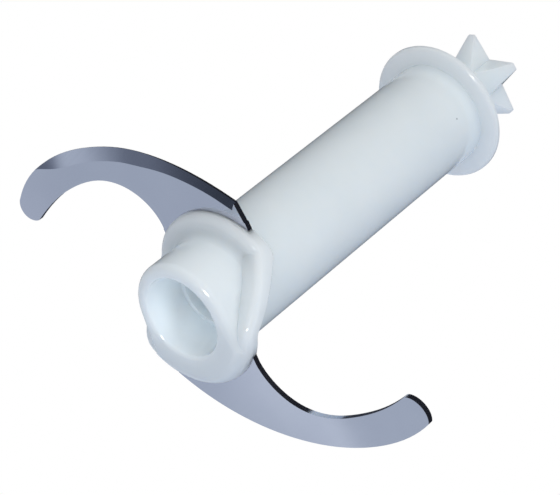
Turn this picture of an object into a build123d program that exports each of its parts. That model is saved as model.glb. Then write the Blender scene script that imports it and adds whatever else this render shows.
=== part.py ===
from build123d import *

"""Chopping blade of a small food processor: an S-shaped steel sheet on two levels, in a moulded plastic hub.

The hub stands upright on the rim of its mouth, with its axis on Z and the rim at z = 0.
Lengths are in millimetres and angles in degrees.
"""

import os
from math import asin, cos, degrees, radians, sin, sqrt, tan

os.makedirs("parts", exist_ok=True)

# Blade sheet: thickness, the height of the low arm, and the joggle up to the high arm
sheet = 1.5
low_level = 4.0
level_step = 15.1
joggle_angle = 45.0
joggle_direction = 114.0
joggle_radius = 3.6
strip_half_width = 15.3
strip_reach = 14.0
strip_overlap = 2.0
eye_margin = 2.3

# Outlines of the two arms, both drawn in the low arm's place: a bulging cutting edge and a hollow back edge
low_cutting_edge = [
    (-10.4, -21.0),
    (-21.6, -16.1),
    (-33.3, -7.7),
    (-43.1, 3.1),
    (-50.5, 15.6),
    (-55.2, 30.5),
    (-55.7, 48.9),
]
low_tip = (-51.6, 51.2)
low_back_edge = [
    (-47.2, 48.0),
    (-47.1, 36.7),
    (-45.0, 25.4),
    (-41.5, 16.5),
    (-35.1, 9.6),
    (-28.0, 7.0),
    (-19.6, 7.9),
]
high_cutting_edge = [
    (-13.8, -21.8),
    (-26.1, -15.0),
    (-35.7, -7.4),
    (-43.8, 1.9),
    (-49.8, 12.6),
    (-54.0, 24.2),
    (-55.5, 36.4),
    (-53.0, 46.9),
]
high_tip = (-48.6, 49.8)
high_back_edge = [
    (-45.0, 46.8),
    (-45.8, 34.6),
    (-44.2, 23.5),
    (-40.6, 14.7),
    (-34.1, 8.3),
    (-27.0, 6.1),
    (-19.6, 7.9),
]

# The arms sag towards the mouth in a long arc that starts at this distance along them
sag_start = 15.0
sag_at_tip = 2.4

# Ground bevel along the cutting edge: its widths and where it runs out, as shares of the edge's length
bevel_width = 3.5
bevel_root_width = 2.2
bevel_land = 0.15
bevel_full_from = 0.36
bevel_full_to = 0.70
bevel_end = 0.86
bevel_stations = 12
cutter_overrun = 3.0

# Collar that grips the sheet on both levels
collar_radius = 20.6
collar_floor = 2.9
collar_cover = 0.6
collar_edge = 0.8
collar_under_edge = 2.0
crease_round = 2.2

# Foot: the rim of the mouth, widened to one side to carry the low arm
foot_wide_from = 12.0
rim_round = 2.5
rim_land = 0.2

# Sleeve, top flange and neck
sleeve_radius = 15.0
flange_height = 112.6
flange_radius = 20.2
flange_thickness = 2.2
flange_edge = 0.9
flange_top_edge = 0.6
neck_radius = 7.0

# Drive star on top
star_points = 5
star_rise = 23.6
star_shoulder = 9.5
star_tip_thickness = 0.7
star_tip_radius = 13.3
star_valley_radius = 7.0
star_tip_half_angle = 4.6
star_turn = 34.0
star_tip_round = 0.5
star_edge = 0.4

# Mouth, and the bore for the spindle
mouth_radius = 11.5
mouth_inner_radius = 10.4
mouth_depth = 12.5
mouth_lip = 1.0
bore_radius = 9.2
bore_end_wall = 4.6
bore_end_chamfer = 1.5

# Places that follow from the values above
high_level = low_level + level_step
joggle_half_run = level_step / 2 / tan(radians(joggle_angle))
across = Vector(-sin(radians(joggle_direction)), cos(radians(joggle_direction)), 0)
along = Vector(cos(radians(joggle_direction)), sin(radians(joggle_direction)), 0)
joggle_plane = Plane(origin=(0, 0, 0), x_dir=across, z_dir=along)
joggle_corners = [
    (-collar_radius - cutter_overrun, high_level),
    (-joggle_half_run, high_level),
    (joggle_half_run, low_level),
    (collar_radius + cutter_overrun, low_level),
]
wide_rim_round = low_level - rim_land
# The two roundings of the rim share the wall between the mouth and the sleeve
rounding_share = min(1, (sleeve_radius - mouth_radius) / (rim_round + mouth_lip))
collar_underside = high_level - collar_floor
arm_reach = low_tip[1]
sag_radius = (arm_reach - sag_start) ** 2 / (2 * sag_at_tip)
eye_radius = strip_half_width - eye_margin
flange_top = flange_height + flange_thickness
star_top = flange_height + star_rise
bore_top = flange_height - bore_end_wall


def over_sheet(edge):
    """Height of an outer edge of the collar over the sheet's underside. A seam line lies on the sheet."""
    if edge.geom_type == GeomType.LINE:
        return 0
    rise = (joggle_half_run - edge.center().dot(across)) * tan(radians(joggle_angle))
    return edge.center().Z - low_level - min(level_step, max(0, rise))


def sag(y):
    """Height lost by the sheet at this distance along the arm."""
    return sag_radius - sqrt(sag_radius**2 - max(y - sag_start, 0) ** 2)


def bevel_reach(share):
    """Distance from the cutting edge to the inner side of the bevel, at this share of the edge's length."""
    run_in = min(1, share / bevel_full_from) ** 2
    run_out = max(0, (share - bevel_full_to) / (bevel_end - bevel_full_to)) ** 2
    return bevel_root_width + (bevel_width - bevel_root_width) * run_in - bevel_width * run_out


def make_arm(cutting_edge, tip, back_edge, ground_below):
    """One arm in the low arm's place, ground on its upper face or on the face below."""
    with BuildLine(mode=Mode.PRIVATE) as ground_edge:
        Spline(*cutting_edge)

    with BuildPart() as arm:
        with BuildSketch(Plane.XY.offset(low_level - sag_at_tip - cutter_overrun)):
            with BuildLine():
                Spline(*cutting_edge)
                ThreePointArc(cutting_edge[-1], tip, back_edge[0])
                Spline(*back_edge)
                Polyline(
                    back_edge[-1],
                    across * strip_reach + along * strip_half_width,
                    across * strip_reach - along * strip_half_width,
                    cutting_edge[0],
                )
            make_face()
        extrude(amount=sag_at_tip + sheet + 2 * cutter_overrun)

        # The bent sheet's own section trims the outline to its thickness
        with BuildSketch(Plane.YZ.offset(2 * cutting_edge[-1][0])):
            with BuildLine():
                Line((2 * cutting_edge[0][1], low_level), (sag_start, low_level))
                JernArc(
                    start=(sag_start, low_level),
                    tangent=(1, 0),
                    radius=sag_radius,
                    arc_size=-degrees(asin((arm_reach + cutter_overrun - sag_start) / sag_radius)),
                )
                offset(amount=sheet, side=Side.LEFT)
            make_face()
        extrude(amount=-2 * cutting_edge[-1][0], mode=Mode.INTERSECT)

        # Path of the grinding wheel: a wedge-shaped section at each station along the edge
        side = -1 if ground_below else 1
        slope = (sheet - bevel_land) / bevel_width
        wedge_top = side * (sheet + slope * cutter_overrun)
        for station in range(bevel_stations + 1):
            share = bevel_end * station / bevel_stations
            edge_point = ground_edge.line @ share
            edge_run = ground_edge.line % share
            inward = Vector(edge_run.Y, -edge_run.X, 0)
            level = low_level - sag(edge_point.Y) + (sheet if ground_below else 0)
            section_plane = Plane(
                origin=(edge_point.X, edge_point.Y, level), x_dir=inward, z_dir=inward.cross(Vector(0, 0, 1))
            )
            far = bevel_reach(share) + cutter_overrun
            near = bevel_reach(share) - bevel_width - cutter_overrun
            with BuildSketch(section_plane):
                with BuildLine():
                    Polyline(
                        (near, side * (bevel_land - slope * cutter_overrun)),
                        (far, wedge_top),
                        (near, wedge_top),
                        close=True,
                    )
                make_face()
        loft(mode=Mode.SUBTRACT)
    return arm.part


low_arm = make_arm(low_cutting_edge, low_tip, low_back_edge, ground_below=False)
high_arm = make_arm(high_cutting_edge, high_tip, high_back_edge, ground_below=True)

with BuildPart() as blade:
    with BuildSketch(joggle_plane.offset(-strip_half_width)):
        with BuildLine():
            FilletPolyline(
                (-strip_reach - strip_overlap, high_level),
                *joggle_corners[1:3],
                (strip_reach + strip_overlap, low_level),
                radius=joggle_radius,
            )
            offset(amount=sheet, side=Side.LEFT)
        make_face()
    extrude(amount=2 * strip_half_width)
    add(low_arm)
    with Locations(Location((0, 0, level_step), (0, 0, 180))):
        add(high_arm)
    with BuildSketch():
        Circle(eye_radius)
    extrude(amount=high_level + sheet + cutter_overrun, mode=Mode.SUBTRACT)

# Round billet with a rounded lower edge, which the collar and the foot are both cut from
with BuildPart() as billet:
    with BuildSketch():
        Circle(collar_radius)
    extrude(amount=2 * high_level)
    fillet(billet.faces().sort_by(Axis.Z)[0].edges(), radius=wide_rim_round)

with BuildPart() as collar:
    with BuildSketch(joggle_plane.offset(-collar_radius - cutter_overrun)):
        with BuildLine():
            FilletPolyline(*joggle_corners, radius=joggle_radius)
            offset(amount=sheet + collar_cover, side=Side.LEFT)
        make_face()
        with BuildLine():
            FilletPolyline(*joggle_corners, radius=joggle_radius)
            offset(amount=collar_floor, side=Side.RIGHT)
        make_face()
    extrude(amount=2 * (collar_radius + cutter_overrun))
    with BuildSketch():
        Circle(collar_radius)
    extrude(amount=2 * high_level, mode=Mode.INTERSECT)
    wall = collar.faces().filter_by(GeomType.CYLINDER).sort_by(SortBy.AREA)[-1]
    chamfer(wall.edges().filter_by(lambda edge: over_sheet(edge) > 0), length=collar_edge)
    wall = collar.faces().filter_by(GeomType.CYLINDER).sort_by(SortBy.AREA)[-1]
    fillet(wall.edges().filter_by(lambda edge: over_sheet(edge) < 0), radius=collar_under_edge)
    add(billet.part, mode=Mode.INTERSECT)

with BuildPart() as foot:
    with BuildSketch(Plane(origin=(0, 0, 0), x_dir=across, z_dir=(0, 0, 1))):
        Circle(collar_radius)
        with Locations((foot_wide_from, 0)):
            Rectangle(
                2 * collar_radius, 2 * collar_radius, align=(Align.MAX, Align.CENTER), mode=Mode.SUBTRACT
            )
        Circle(sleeve_radius)
        make_hull()
    extrude(amount=high_level)
    with BuildSketch(joggle_plane.offset(-collar_radius - cutter_overrun)):
        with BuildLine():
            FilletPolyline(*joggle_corners, radius=joggle_radius)
            Polyline(
                joggle_corners[-1],
                (joggle_corners[-1][0], -cutter_overrun),
                (joggle_corners[0][0], -cutter_overrun),
                joggle_corners[0],
            )
        make_face()
    extrude(amount=2 * (collar_radius + cutter_overrun), mode=Mode.INTERSECT)
    fillet(foot.faces().sort_by(Axis.Z)[0].edges(), radius=rim_round * rounding_share)
    add(billet.part, mode=Mode.INTERSECT)

# Soft crease between the body's wall and the underside of the collar
with BuildPart() as crease:
    with BuildSketch(Plane.XZ):
        with BuildLine():
            RadiusArc(
                (sleeve_radius, collar_underside - crease_round),
                (sleeve_radius + crease_round, collar_underside),
                radius=crease_round,
            )
            Polyline(
                (sleeve_radius + crease_round, collar_underside),
                (sleeve_radius + crease_round, high_level),
                (bore_radius, high_level),
                (bore_radius, collar_underside - crease_round),
                (sleeve_radius, collar_underside - crease_round),
            )
        make_face()
    revolve(axis=Axis.Z)
    split(bisect_by=Plane(origin=across * -joggle_half_run / 2, z_dir=across), keep=Keep.BOTTOM)

with BuildPart() as tower:
    with BuildSketch(Plane.XZ):
        with BuildLine():
            Polyline(
                (0, low_level),
                (sleeve_radius, low_level),
                (sleeve_radius, flange_height),
                (flange_radius, flange_height),
                (flange_radius, flange_top),
                (0, flange_top),
                close=True,
            )
        make_face()
    revolve(axis=Axis.Z)
    flange_underside = tower.faces().filter_by_position(Axis.Z, flange_height, flange_height)[0]
    fillet(flange_underside.edges().sort_by(SortBy.LENGTH)[-1], radius=flange_edge)
    chamfer(tower.faces().sort_by(Axis.Z)[-1].edges(), length=flange_top_edge)

# The rays of the star thin out to their tips: a cone cuts their undersides, down to the neck
with BuildPart() as drive_star:
    with BuildSketch(Plane.XY.offset(flange_top)) as star_outline:
        star_corners = []
        for ray in range(star_points):
            middle = star_turn + 360 / star_points * ray
            for radius, turn in (
                (star_tip_radius, -star_tip_half_angle),
                (star_tip_radius, star_tip_half_angle),
                (star_valley_radius, 180 / star_points),
            ):
                angle = radians(middle + turn)
                star_corners.append((radius * cos(angle), radius * sin(angle)))
        Polygon(*star_corners, align=None)
        half_way = (star_valley_radius + star_tip_radius) / 2
        tip_corners = star_outline.vertices().filter_by(lambda corner: Vector(corner).length > half_way)
        fillet(tip_corners, radius=star_tip_round)
    extrude(amount=star_top - flange_top)
    chamfer(drive_star.faces().sort_by(Axis.Z)[-1].edges(), length=star_edge)
    with BuildSketch(Plane.XZ):
        slope = (star_shoulder - star_tip_thickness) / (star_tip_radius - neck_radius)
        cone_top = star_top - star_tip_thickness + slope * cutter_overrun
        with BuildLine():
            Polyline(
                (0, flange_top),
                (neck_radius, flange_top),
                (neck_radius, star_top - star_shoulder),
                (star_tip_radius + cutter_overrun, cone_top),
                (0, cone_top),
                close=True,
            )
        make_face()
    revolve(axis=Axis.Z, mode=Mode.INTERSECT)

with BuildPart() as hub:
    add(foot.part)
    add(collar.part)
    add(crease.part)
    add(tower.part)
    add(drive_star.part)

    with BuildSketch(Plane.XZ) as hollow:
        with BuildLine():
            Polyline(
                (0, 0),
                (mouth_radius, 0),
                (mouth_inner_radius, mouth_depth),
                (bore_radius, mouth_depth),
                (bore_radius, bore_top),
                (0, bore_top),
                close=True,
            )
        make_face()
        chamfer(hollow.vertices().group_by(Axis.Y)[-1].sort_by(Axis.X)[-1], length=bore_end_chamfer)
    revolve(axis=Axis.Z, mode=Mode.SUBTRACT)
    lip_edge = hub.edges().filter_by_position(Axis.Z, 0, 0).sort_by(SortBy.LENGTH)[-1]
    fillet(lip_edge, radius=mouth_lip * rounding_share)
    add(blade.part, mode=Mode.SUBTRACT)

hub.part.label = "hub"
export_step(hub.part, "parts/hub.step")
blade.part.label = "blade"
export_step(blade.part, "parts/blade.step")
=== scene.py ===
import math

import bpy
from mathutils import Matrix, Vector


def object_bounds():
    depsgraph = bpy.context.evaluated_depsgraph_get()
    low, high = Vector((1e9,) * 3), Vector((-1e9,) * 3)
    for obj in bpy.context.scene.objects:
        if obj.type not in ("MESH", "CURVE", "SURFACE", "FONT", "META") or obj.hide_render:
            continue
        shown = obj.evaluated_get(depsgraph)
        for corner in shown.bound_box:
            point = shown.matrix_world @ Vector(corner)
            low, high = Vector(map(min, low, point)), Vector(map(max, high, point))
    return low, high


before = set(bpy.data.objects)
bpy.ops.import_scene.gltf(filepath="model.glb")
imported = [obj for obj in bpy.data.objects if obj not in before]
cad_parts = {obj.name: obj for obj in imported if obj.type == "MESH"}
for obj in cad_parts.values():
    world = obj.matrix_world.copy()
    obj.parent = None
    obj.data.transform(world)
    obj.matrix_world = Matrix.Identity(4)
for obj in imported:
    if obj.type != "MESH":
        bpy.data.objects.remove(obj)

cad_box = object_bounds()
scene = bpy.context.scene

# Camera: it looks up at the mouth from below, as in the photograph. The two angles say how the spin axis
# lies in the picture, and the offset where the aimed point on that axis lies: right, down and forward.
picture_width = 560
focal_length_px = 2250.0
sensor_width = 36.0
near_clip = 0.01
axis_tilt = 0.90449225
axis_turn = 0.67978527
aim_offset = Vector((-0.0225604, 0.0159564, 0.564694))
aim_height = 0.004

# Hub plastic. The glow radius is how far light travels inside it, in red, green and blue.
plastic_tints = ((0.35, (0.800, 0.850, 0.875)), (0.65, (0.832, 0.878, 0.900)))
plastic_roughness = (0.09, 0.15)
plastic_ior = 1.49
glow_radius = (0.0068, 0.0064, 0.0060)
flow_scale = 55.0
flow_detail = 3.0
ripple_scale = 900.0
ripple_detail = 2.0
ripple_strength = 0.03
ripple_height = 0.0002

# Small dark speck on the sleeve, under the flange. Its core is dark all over, and its rim fades out.
speck_place = (-0.00484, 0.01422, 0.10392)
speck_radius = 0.00034
speck_core_radius = 0.00017
speck_colour = (0.40, 0.43, 0.45)

# Blade steel: rolling lines drawn out along the sheet, and a slightly clouded tone
steel_tones = ((0.3, (0.568, 0.598, 0.688)), (0.7, (0.592, 0.622, 0.708)))
steel_roughness = (0.09, 0.16)
grain_stretch = (1500.0, 60.0, 300.0)
grain_turn = (0, 0, math.radians(24))
grain_scale = 1.0
grain_detail = 4.0
grain_strength = 0.04
grain_height = 0.0001
cloud_scale = 70.0
cloud_detail = 2.0

# Floor
floor_size = 1.6
floor_gap = 0.0002
floor_tone = 0.9
floor_roughness = 0.8
floor_glow = 0.5

# Lamps: places are in the object's frame; the glint's direction is along the camera's right, up and back
lamp_target = Vector((0, 0, 0.06))
glint_direction = (-0.21, -0.05, 0.97)
glint_distance = 0.60
glint_size = (0.08, 0.05)
glint_power = 2.0
low_arm_card_place = Vector((-0.13, -0.365, -0.405))
low_arm_card_size = (0.26, 0.22)
low_arm_card_power = 0.045
near_fill_place = Vector((0.0, 0.19, -0.10))
near_fill_size = (0.15, 0.15)
near_fill_power = 0.045
mouth_fill_place = Vector((0.001, -0.0045, 0.003))
mouth_fill_radius = 0.004
mouth_fill_power = 0.00095
mouth_fill_colour = (0.86, 0.95, 1.0)

# Room: each side has a direction, in the object's frame, and colours by how near a ray runs to it,
# from 0 for the opposite direction to 1 for the side's own
white = (1, 1, 1)
black = (0, 0, 0)
upward = (0, 0, 1)
front_direction = (0.08, 0.975, -0.15)
front_stops = (
    (0.0, (0.48, 0.50, 0.53)),
    (0.3, (0.33, 0.35, 0.38)),
    (0.5, (0.37, 0.39, 0.42)),
    (0.8, (0.53, 0.55, 0.56)),
    (0.93, (1.13, 1.15, 1.15)),
    (1.0, (1.21, 1.23, 1.23)),
)
below_direction = (-0.80, -0.35, -0.49)
below_stops = ((0.5, black), (1.0, (0.17, 0.24, 0.37)))
above_stops = ((0.5, black), (1.0, (0.10, 0.11, 0.13)))

# What the glossy surfaces mirror: a card low on the far side, and two pale bands overhead with a dark one
# between them
card_direction = (0.0, -0.90, -0.44)
card_stops = (
    (0.40, black),
    (0.80, (0.03, 0.035, 0.045)),
    (0.836, (0.06, 0.07, 0.095)),
    (0.869, (0.16, 0.18, 0.23)),
    (0.895, (0.255, 0.285, 0.35)),
    (0.915, (0.60, 0.65, 0.73)),
    (0.955, (0.58, 0.62, 0.70)),
    (0.985, (0.50, 0.545, 0.62)),
    (1.0, (0.54, 0.59, 0.67)),
)
band_stops = (
    (0.42, black),
    (0.55, (0.30, 0.32, 0.36)),
    (0.68, (0.30, 0.32, 0.36)),
    (0.75, (0.015, 0.015, 0.02)),
    (0.87, (0.015, 0.015, 0.02)),
    (0.95, (0.50, 0.53, 0.60)),
)

# Sockets of the Mix node that carry colours: its names stand for numbers and vectors as well
mix_colour_a = 6
mix_colour_b = 7
mix_colour_result = 2


def set_inputs(node, values):
    """Constants on a node's own sockets, by socket name."""
    for name, value in values.items():
        node.inputs[name].default_value = value


def new_material(name):
    material = bpy.data.materials.new(name)
    material.use_nodes = True
    tree = material.node_tree
    return material, tree, tree.nodes["Principled BSDF"]


def add_ramp(tree, source, stops):
    """Colour from a value between 0 and 1, by stops of a position and a colour."""
    ramp = tree.nodes.new("ShaderNodeValToRGB")
    elements = ramp.color_ramp.elements
    while len(elements) < len(stops):
        elements.new(0.5)
    for element, (position, colour) in zip(elements, stops):
        element.position = position
        element.color = (*colour, 1)
    tree.links.new(source, ramp.inputs["Fac"])
    return ramp.outputs["Color"]


def add_noise(tree, place, scale, detail):
    noise = tree.nodes.new("ShaderNodeTexNoise")
    set_inputs(noise, {"Scale": scale, "Detail": detail})
    tree.links.new(place, noise.inputs["Vector"])
    return noise.outputs["Fac"]


def map_range(tree, source, limits):
    """A value mapped by the node's limits, which run from 0 to 1 where none is given."""
    spread = tree.nodes.new("ShaderNodeMapRange")
    set_inputs(spread, limits)
    tree.links.new(source, spread.inputs["Value"])
    return spread.outputs["Result"]


def both(tree, first, second):
    """Two shaders added up."""
    total = tree.nodes.new("ShaderNodeAddShader")
    tree.links.new(first, total.inputs[0])
    tree.links.new(second, total.inputs[1])
    return total.outputs["Shader"]


def either(tree, share, first, second):
    """The first shader, or the second as the share nears 1."""
    mix = tree.nodes.new("ShaderNodeMixShader")
    tree.links.new(share, mix.inputs["Fac"])
    tree.links.new(first, mix.inputs[1])
    tree.links.new(second, mix.inputs[2])
    return mix.outputs["Shader"]


def vary_roughness(tree, shader, source, limits):
    smooth, rough = limits
    roughness = map_range(tree, source, {"To Min": smooth, "To Max": rough})
    tree.links.new(roughness, shader.inputs["Roughness"])


def add_bump(tree, shader, source, strength, height):
    bump = tree.nodes.new("ShaderNodeBump")
    set_inputs(bump, {"Strength": strength, "Distance": height})
    tree.links.new(source, bump.inputs["Height"])
    tree.links.new(bump.outputs["Normal"], shader.inputs["Normal"])


def with_speck(tree, place, tint):
    """The tint, darkened near the speck's place."""
    reach = tree.nodes.new("ShaderNodeVectorMath")
    reach.operation = "DISTANCE"
    reach.inputs[1].default_value = speck_place
    tree.links.new(place, reach.inputs[0])
    limits = {"From Min": speck_core_radius, "From Max": speck_radius}
    clear = map_range(tree, reach.outputs["Value"], limits)
    paint = tree.nodes.new("ShaderNodeMix")
    paint.data_type = "RGBA"
    paint.inputs[mix_colour_a].default_value = (*speck_colour, 1)
    tree.links.new(clear, paint.inputs["Factor"])
    tree.links.new(tint, paint.inputs[mix_colour_b])
    return paint.outputs[mix_colour_result]


def moulded_plastic():
    """White glossy plastic with faint flow shading, a very fine moulded ripple and one dark speck."""
    material, tree, shader = new_material("hub_plastic")
    place = tree.nodes.new("ShaderNodeTexCoord").outputs["Object"]
    flow = add_noise(tree, place, flow_scale, flow_detail)
    tint = add_ramp(tree, flow, plastic_tints)
    tree.links.new(with_speck(tree, place, tint), shader.inputs["Base Color"])
    vary_roughness(tree, shader, flow, plastic_roughness)
    ripple = add_noise(tree, place, ripple_scale, ripple_detail)
    add_bump(tree, shader, ripple, ripple_strength, ripple_height)
    set_inputs(shader, {
        "IOR": plastic_ior,
        "Subsurface Weight": 1.0,
        "Subsurface Radius": glow_radius,
        "Subsurface Scale": 1.0,
    })
    return material


def polished_steel():
    """Stainless sheet with a soft polish, faint rolling lines and slightly clouded tone."""
    material, tree, shader = new_material("blade_steel")
    place = tree.nodes.new("ShaderNodeTexCoord").outputs["Object"]
    stretch = tree.nodes.new("ShaderNodeMapping")
    set_inputs(stretch, {"Scale": grain_stretch, "Rotation": grain_turn})
    tree.links.new(place, stretch.inputs["Vector"])
    grain = add_noise(tree, stretch.outputs["Vector"], grain_scale, grain_detail)
    cloud = add_noise(tree, place, cloud_scale, cloud_detail)
    tree.links.new(add_ramp(tree, cloud, steel_tones), shader.inputs["Base Color"])
    vary_roughness(tree, shader, grain, steel_roughness)
    add_bump(tree, shader, grain, grain_strength, grain_height)
    set_inputs(shader, {"Metallic": 1.0})
    return material


def floor_paint():
    """White from above and clear from below, where the camera looks up through the floor."""
    material, tree, shader = new_material("floor_white")
    set_inputs(shader, {
        "Base Color": (floor_tone, floor_tone, floor_tone, 1),
        "Roughness": floor_roughness,
        "Emission Color": (*white, 1),
        "Emission Strength": floor_glow,
    })
    from_below = tree.nodes.new("ShaderNodeNewGeometry").outputs["Backfacing"]
    clear = tree.nodes.new("ShaderNodeBsdfTransparent").outputs["BSDF"]
    surface = either(tree, from_below, shader.outputs["BSDF"], clear)
    tree.links.new(surface, tree.nodes["Material Output"].inputs["Surface"])
    return material


def dress(node_name, material):
    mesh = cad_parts[node_name].data
    mesh.materials.clear()
    mesh.materials.append(material)


def pale_floor():
    """A floor just under the rim, that only the camera sees."""
    height = cad_box[0][2] - floor_gap
    bpy.ops.mesh.primitive_plane_add(size=floor_size, location=(0, 0, height))
    floor = bpy.context.object
    floor.name = "floor"
    floor.data.materials.append(floor_paint())
    floor.visible_diffuse = False
    floor.visible_glossy = False
    floor.visible_transmission = False
    floor.visible_shadow = False


def camera_directions():
    """The camera's right, down and forward directions in the object's frame."""
    sin_tilt, cos_tilt = math.sin(axis_tilt), math.cos(axis_tilt)
    sin_turn, cos_turn = math.sin(axis_turn), math.cos(axis_turn)
    spin_axis = Vector((sin_tilt * cos_turn, -sin_tilt * sin_turn, cos_tilt))
    y_axis = Vector((cos_tilt * cos_turn, -cos_tilt * sin_turn, -sin_tilt))
    x_axis = y_axis.cross(spin_axis)
    return [Vector(row) for row in zip(x_axis, y_axis, spin_axis)]


def place_camera(right, down, forward):
    data = bpy.data.cameras.new("camera")
    data.sensor_width = sensor_width
    data.lens = focal_length_px / picture_width * sensor_width
    data.clip_start = near_clip
    camera = bpy.data.objects.new("camera", data)
    eye = -(right * aim_offset.x + down * aim_offset.y + forward * aim_offset.z)
    turned = Matrix((right, -down, -forward)).transposed().to_4x4()
    camera.matrix_world = Matrix.Translation(eye + Vector((0, 0, aim_height))) @ turned
    scene.collection.objects.link(camera)
    scene.camera = camera


def glint_place(right, down, forward):
    """Where the glint's card stands, from its direction along the camera's right, up and back."""
    x, y, z = glint_direction
    direction = (right * x - down * y - forward * z).normalized()
    return lamp_target + direction * glint_distance


def card_light(name, place, size, power, mirrored):
    """A soft rectangle that faces the object: it shows as a reflection, or only lights the surfaces."""
    data = bpy.data.lights.new(name, "AREA")
    data.shape = "RECTANGLE"
    data.size, data.size_y = size
    data.energy = power
    lamp = bpy.data.objects.new(name, data)
    lamp.location = place
    lamp.rotation_euler = (place - lamp_target).to_track_quat("Z", "Y").to_euler()
    lamp.visible_diffuse = not mirrored
    lamp.visible_glossy = mirrored
    scene.collection.objects.link(lamp)


def mouth_fill():
    """Faint light in the mouth, for what passes through the real hub's walls."""
    data = bpy.data.lights.new("mouth_fill", "POINT")
    data.shadow_soft_size = mouth_fill_radius
    data.energy = mouth_fill_power
    data.color = mouth_fill_colour
    lamp = bpy.data.objects.new("mouth_fill", data)
    lamp.location = mouth_fill_place
    lamp.visible_camera = False
    lamp.visible_glossy = False
    scene.collection.objects.link(lamp)


def room_side(tree, direction, stops):
    """Light from one side of the room, by the angle between a ray and the side's direction."""
    cosine = tree.nodes.new("ShaderNodeVectorMath")
    cosine.operation = "DOT_PRODUCT"
    cosine.inputs[1].default_value = direction
    ray = tree.nodes.new("ShaderNodeTexCoord").outputs["Generated"]
    tree.links.new(ray, cosine.inputs[0])
    nearness = map_range(tree, cosine.outputs["Value"], {"From Min": -1.0})
    light = tree.nodes.new("ShaderNodeBackground")
    tree.links.new(add_ramp(tree, nearness, stops), light.inputs["Color"])
    return light.outputs["Background"]


def backdrop(tree):
    light = tree.nodes.new("ShaderNodeBackground")
    set_inputs(light, {"Color": (*white, 1)})
    return light.outputs["Background"]


def studio_room():
    """White behind the object for the camera, cards for what mirrors, and soft sides for the rest."""
    world = bpy.data.worlds.new("studio")
    scene.world = world
    world.use_nodes = True
    tree = world.node_tree
    tree.nodes.clear()
    front = room_side(tree, front_direction, front_stops)
    below = room_side(tree, below_direction, below_stops)
    above = room_side(tree, upward, above_stops)
    soft = both(tree, both(tree, front, below), above)
    card = room_side(tree, card_direction, card_stops)
    bands = room_side(tree, upward, band_stops)
    mirrored = both(tree, card, bands)
    path = tree.nodes.new("ShaderNodeLightPath")
    by_gloss = either(tree, path.outputs["Is Glossy Ray"], soft, mirrored)
    by_view = either(tree, path.outputs["Is Camera Ray"], by_gloss, backdrop(tree))
    output = tree.nodes.new("ShaderNodeOutputWorld")
    tree.links.new(by_view, output.inputs["Surface"])


view = camera_directions()
dress("hub", moulded_plastic())
dress("blade", polished_steel())
pale_floor()
place_camera(*view)
studio_room()
card_light("glint", glint_place(*view), glint_size, glint_power, mirrored=True)
card_light("low_arm_card", low_arm_card_place, low_arm_card_size, low_arm_card_power, mirrored=True)
card_light("near_fill", near_fill_place, near_fill_size, near_fill_power, mirrored=False)
mouth_fill()
scene.view_settings.view_transform = "Standard"
